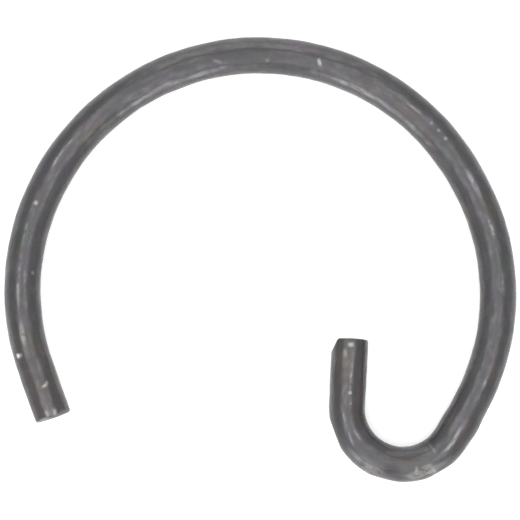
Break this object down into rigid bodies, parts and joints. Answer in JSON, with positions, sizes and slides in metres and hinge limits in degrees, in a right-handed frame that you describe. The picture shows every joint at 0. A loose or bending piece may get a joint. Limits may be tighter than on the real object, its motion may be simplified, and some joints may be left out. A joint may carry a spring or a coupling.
{
  "type": "piston pin circlip",
  "caption": "Open ring of round spring wire with one end hooked inwards as a tang, for holding a piston pin in its bore.",
  "frame": {"origin": "centre of the ring at mid wire, on the axis of the pin bore that the clip seats in", "axes": "+Z along the pin bore's axis, +Y to the ring's crown away from the gap, +X to the hooked side"},
  "size_m": [0.0141, 0.0123, 0.001],
  "materials": {
    "spring_steel": "satin"
  },
  "bodies": {
    "root": {"clip_wire": "spring_steel"}
  },
  "joints": []
}
